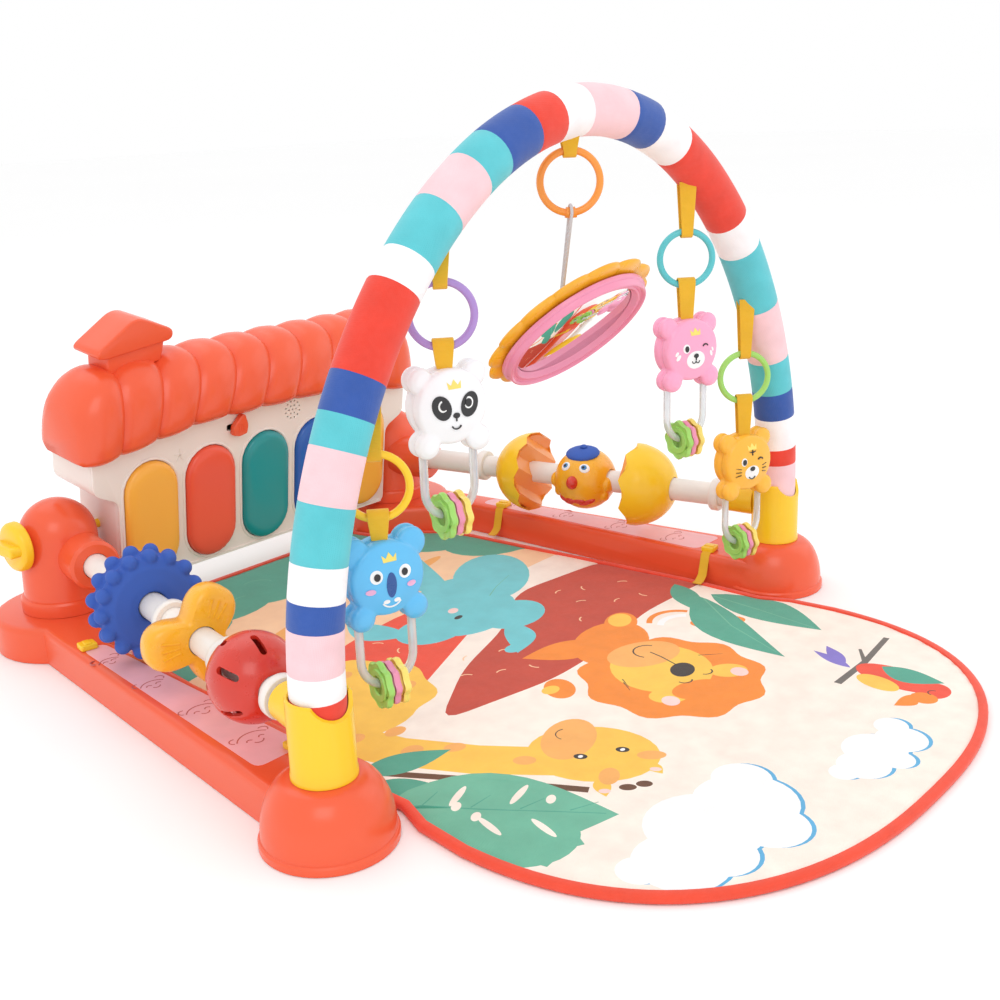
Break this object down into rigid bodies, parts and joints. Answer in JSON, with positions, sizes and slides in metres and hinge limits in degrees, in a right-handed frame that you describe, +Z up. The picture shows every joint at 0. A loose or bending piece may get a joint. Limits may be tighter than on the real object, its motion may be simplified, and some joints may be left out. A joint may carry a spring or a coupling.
{
  "type": "activity play gym",
  "caption": "Baby play gym: padded mat between two side bases, a striped arch with hanging rattles and a mirror, spinners on side shafts and a tilting kick piano shaped like a house.",
  "frame": {"origin": "on the underside of the mat, which lies flat on the floor, straight below the top of the arch", "axes": "+Y from the front of the mat to the piano, +X to the right as seen from the front, +Z up"},
  "size_m": [0.6286, 0.7587, 0.4425],
  "materials": {
    "red_plastic": "satin moulded",
    "yellow_plastic": "satin moulded",
    "cream_plastic": "satin moulded",
    "white_plastic": "satin tube",
    "orange_key": "gloss moulded",
    "red_key": "gloss moulded",
    "teal_key": "gloss moulded",
    "blue_key": "gloss moulded",
    "blue_plastic": "soft moulded",
    "pink_plastic": "gloss moulded",
    "purple_plastic": "gloss moulded",
    "teal_plastic": "gloss moulded",
    "green_plastic": "gloss moulded",
    "orange_plastic": "gloss moulded",
    "clear_blue_plastic": "clear gloss",
    "clear_white_plastic": "clear gloss",
    "clear_pink_plastic": "clear gloss",
    "clear_orange_plastic": "clear gloss",
    "striped_sleeve": "woven polyester, coloured bands",
    "mat_fabric": "printed brushed polyester",
    "webbing": "ribbon",
    "cord": "twisted cotton cord",
    "steel": "polished",
    "board": "solder resist",
    "battery": "printed cell wrap",
    "mirror": "mirror film on plastic"
  },
  "bodies": {
    "stand": {"left_base": "red_plastic", "right_base": "red_plastic", "left_post": "red_plastic", "right_post": "red_plastic", "left_socket": "yellow_plastic", "right_socket": "yellow_plastic", "left_shaft": "white_plastic", "right_shaft": "white_plastic", "mat": "mat_fabric"},
    "arch": {"arch_tube": "white_plastic", "arch_sleeve": "striped_sleeve"},
    "piano": {"front_panel": "cream_plastic", "rear_shell": "cream_plastic", "battery_door": "cream_plastic", "battery_pack": "battery", "circuit_board": "board", "speaker": "steel", "roof": "red_plastic", "chimney": "red_plastic"},
    "left_knob": {"left_knob": "yellow_plastic"},
    "right_knob": {"right_knob": "yellow_plastic"},
    "key_1": {"key_1": "orange_key"},
    "key_2": {"key_2": "red_key"},
    "key_3": {"key_3": "teal_key"},
    "key_4": {"key_4": "blue_key"},
    "key_5": {"key_5": "orange_key"},
    "mode_slider": {"mode_slider": "red_plastic"},
    "spiky_ring": {"spiky_ring": "blue_plastic"},
    "propeller": {"propeller": "yellow_plastic"},
    "slotted_ball": {"slotted_ball": "red_plastic"},
    "steel_ball": {"steel_ball": "steel"},
    "egg_rear": {"egg_rear": "yellow_plastic"},
    "chick": {"chick": "yellow_plastic"},
    "egg_front": {"egg_front": "yellow_plastic"},
    "koala_ring": {"koala_ring": "yellow_plastic"},
    "koala_rattle": {"koala_strap": "webbing", "koala_head": "clear_blue_plastic", "koala_hoop": "clear_white_plastic"},
    "koala_discs": {"koala_discs": "green_plastic"},
    "panda_ring": {"panda_ring": "purple_plastic"},
    "panda_rattle": {"panda_strap": "webbing", "panda_head": "clear_white_plastic", "panda_hoop": "clear_white_plastic"},
    "panda_discs": {"panda_discs": "green_plastic"},
    "bear_ring": {"bear_ring": "teal_plastic"},
    "bear_rattle": {"bear_strap": "webbing", "bear_head": "clear_pink_plastic", "bear_hoop": "clear_white_plastic"},
    "bear_discs": {"bear_discs": "green_plastic"},
    "tiger_ring": {"tiger_ring": "green_plastic"},
    "tiger_rattle": {"tiger_strap": "webbing", "tiger_head": "clear_orange_plastic", "tiger_hoop": "clear_white_plastic"},
    "tiger_discs": {"tiger_discs": "green_plastic"},
    "mirror_ring": {"mirror_ring": "orange_plastic"},
    "mirror": {"mirror_cord": "cord", "mirror_flower": "yellow_plastic", "mirror_bezel": "pink_plastic", "mirror_glass": "mirror"}
  },
  "joints": [
    {"name": "arch_lift", "type": "slide", "parent": "stand", "child": "arch", "axis": [0, 0, 1], "range_m": [0, 0.045]},
    {"name": "piano_tilt", "type": "hinge", "parent": "stand", "child": "piano", "pos_m": [0, 0.425, 0.0925], "axis": [1, 0, 0], "range_deg": [-35, 28]},
    {"name": "left_knob_turn", "type": "hinge", "parent": "stand", "child": "left_knob", "pos_m": [-0.195, 0.425, 0.0925], "axis": [1, 0, 0], "range_deg": [-180, 180]},
    {"name": "right_knob_turn", "type": "hinge", "parent": "stand", "child": "right_knob", "pos_m": [0.195, 0.425, 0.0925], "axis": [1, 0, 0], "range_deg": [-180, 180]},
    {"name": "key_1_press", "type": "slide", "parent": "piano", "child": "key_1", "axis": [0, 0.9903, 0.1392], "range_m": [0, 0.003], "stiffness_N_per_m": 300},
    {"name": "key_2_press", "type": "slide", "parent": "piano", "child": "key_2", "axis": [0, 0.9903, 0.1392], "range_m": [0, 0.003], "stiffness_N_per_m": 300},
    {"name": "key_3_press", "type": "slide", "parent": "piano", "child": "key_3", "axis": [0, 0.9903, 0.1392], "range_m": [0, 0.003], "stiffness_N_per_m": 300},
    {"name": "key_4_press", "type": "slide", "parent": "piano", "child": "key_4", "axis": [0, 0.9903, 0.1392], "range_m": [0, 0.003], "stiffness_N_per_m": 300},
    {"name": "key_5_press", "type": "slide", "parent": "piano", "child": "key_5", "axis": [0, 0.9903, 0.1392], "range_m": [0, 0.003], "stiffness_N_per_m": 300},
    {"name": "mode_slide", "type": "slide", "parent": "piano", "child": "mode_slider", "axis": [1, 0, 0], "range_m": [-0.006, 0.006]},
    {"name": "spiky_ring_spin", "type": "hinge", "parent": "stand", "child": "spiky_ring", "pos_m": [-0.21825, 0.262, 0.078], "axis": [0.1938, 0.981, 0], "continuous": true},
    {"name": "propeller_spin", "type": "hinge", "parent": "stand", "child": "propeller", "pos_m": [-0.23603, 0.172, 0.078], "axis": [0.1938, 0.981, 0], "continuous": true},
    {"name": "slotted_ball_spin", "type": "hinge", "parent": "stand", "child": "slotted_ball", "pos_m": [-0.25301, 0.086, 0.078], "axis": [0.1938, 0.981, 0], "continuous": true},
    {"name": "steel_ball_spin", "type": "hinge", "parent": "stand", "child": "steel_ball", "pos_m": [-0.25301, 0.086, 0.078], "axis": [0.1938, 0.981, 0], "continuous": true},
    {"name": "egg_rear_spin", "type": "hinge", "parent": "stand", "child": "egg_rear", "pos_m": [0.22259, 0.24, 0.078], "axis": [-0.1938, 0.981, 0], "continuous": true},
    {"name": "chick_spin", "type": "hinge", "parent": "stand", "child": "chick", "pos_m": [0.23306, 0.187, 0.078], "axis": [-0.1938, 0.981, 0], "continuous": true},
    {"name": "egg_front_spin", "type": "hinge", "parent": "stand", "child": "egg_front", "pos_m": [0.24314, 0.136, 0.078], "axis": [-0.1938, 0.981, 0], "continuous": true},
    {"name": "koala_ring_swing", "type": "hinge", "parent": "arch", "child": "koala_ring", "pos_m": [-0.212, 0, 0.2335], "axis": [0.7431, -0.6691, 0], "range_deg": [-2, 9]},
    {"name": "koala_rattle_swing", "type": "hinge", "parent": "koala_ring", "child": "koala_rattle", "pos_m": [-0.212, 0, 0.1925], "axis": [0.7431, -0.6691, 0], "range_deg": [-2, 9]},
    {"name": "koala_discs_slide", "type": "hinge", "parent": "koala_rattle", "child": "koala_discs", "pos_m": [-0.212, 0, 0.1016], "axis": [0.2756, 0.9613, 0], "range_deg": [-45, 45]},
    {"name": "panda_ring_swing", "type": "hinge", "parent": "arch", "child": "panda_ring", "pos_m": [-0.148, 0, 0.3285], "axis": [0.7431, -0.6691, 0], "range_deg": [-20, 20]},
    {"name": "panda_rattle_swing", "type": "hinge", "parent": "panda_ring", "child": "panda_rattle", "pos_m": [-0.148, 0, 0.2875], "axis": [0.7431, -0.6691, 0], "range_deg": [-20, 20]},
    {"name": "panda_discs_slide", "type": "hinge", "parent": "panda_rattle", "child": "panda_discs", "pos_m": [-0.148, 0, 0.1966], "axis": [0.2756, 0.9613, 0], "range_deg": [-45, 45]},
    {"name": "bear_ring_swing", "type": "hinge", "parent": "arch", "child": "bear_ring", "pos_m": [0.123, 0, 0.3325], "axis": [0.7431, -0.6691, 0], "range_deg": [-20, 20]},
    {"name": "bear_rattle_swing", "type": "hinge", "parent": "bear_ring", "child": "bear_rattle", "pos_m": [0.123, 0, 0.2915], "axis": [0.7431, -0.6691, 0], "range_deg": [-20, 20]},
    {"name": "bear_discs_slide", "type": "hinge", "parent": "bear_rattle", "child": "bear_discs", "pos_m": [0.123, 0, 0.1876], "axis": [0.2756, 0.9613, 0], "range_deg": [-45, 45]},
    {"name": "tiger_ring_swing", "type": "hinge", "parent": "arch", "child": "tiger_ring", "pos_m": [0.212, 0, 0.2235], "axis": [0.7431, -0.6691, 0], "range_deg": [-9, 2]},
    {"name": "tiger_rattle_swing", "type": "hinge", "parent": "tiger_ring", "child": "tiger_rattle", "pos_m": [0.212, 0, 0.1825], "axis": [0.7431, -0.6691, 0], "range_deg": [-9, 2]},
    {"name": "tiger_discs_slide", "type": "hinge", "parent": "tiger_rattle", "child": "tiger_discs", "pos_m": [0.212, 0, 0.0756], "axis": [0.2756, 0.9613, 0], "range_deg": [-45, 45]},
    {"name": "mirror_ring_swing", "type": "hinge", "parent": "arch", "child": "mirror_ring", "pos_m": [-0.018, 0, 0.3995], "axis": [0.7431, -0.6691, 0], "range_deg": [-20, 20]},
    {"name": "mirror_swing", "type": "hinge", "parent": "mirror_ring", "child": "mirror", "pos_m": [-0.018, 0, 0.3585], "axis": [0.7431, -0.6691, 0], "range_deg": [-20, 20]}
  ]
}
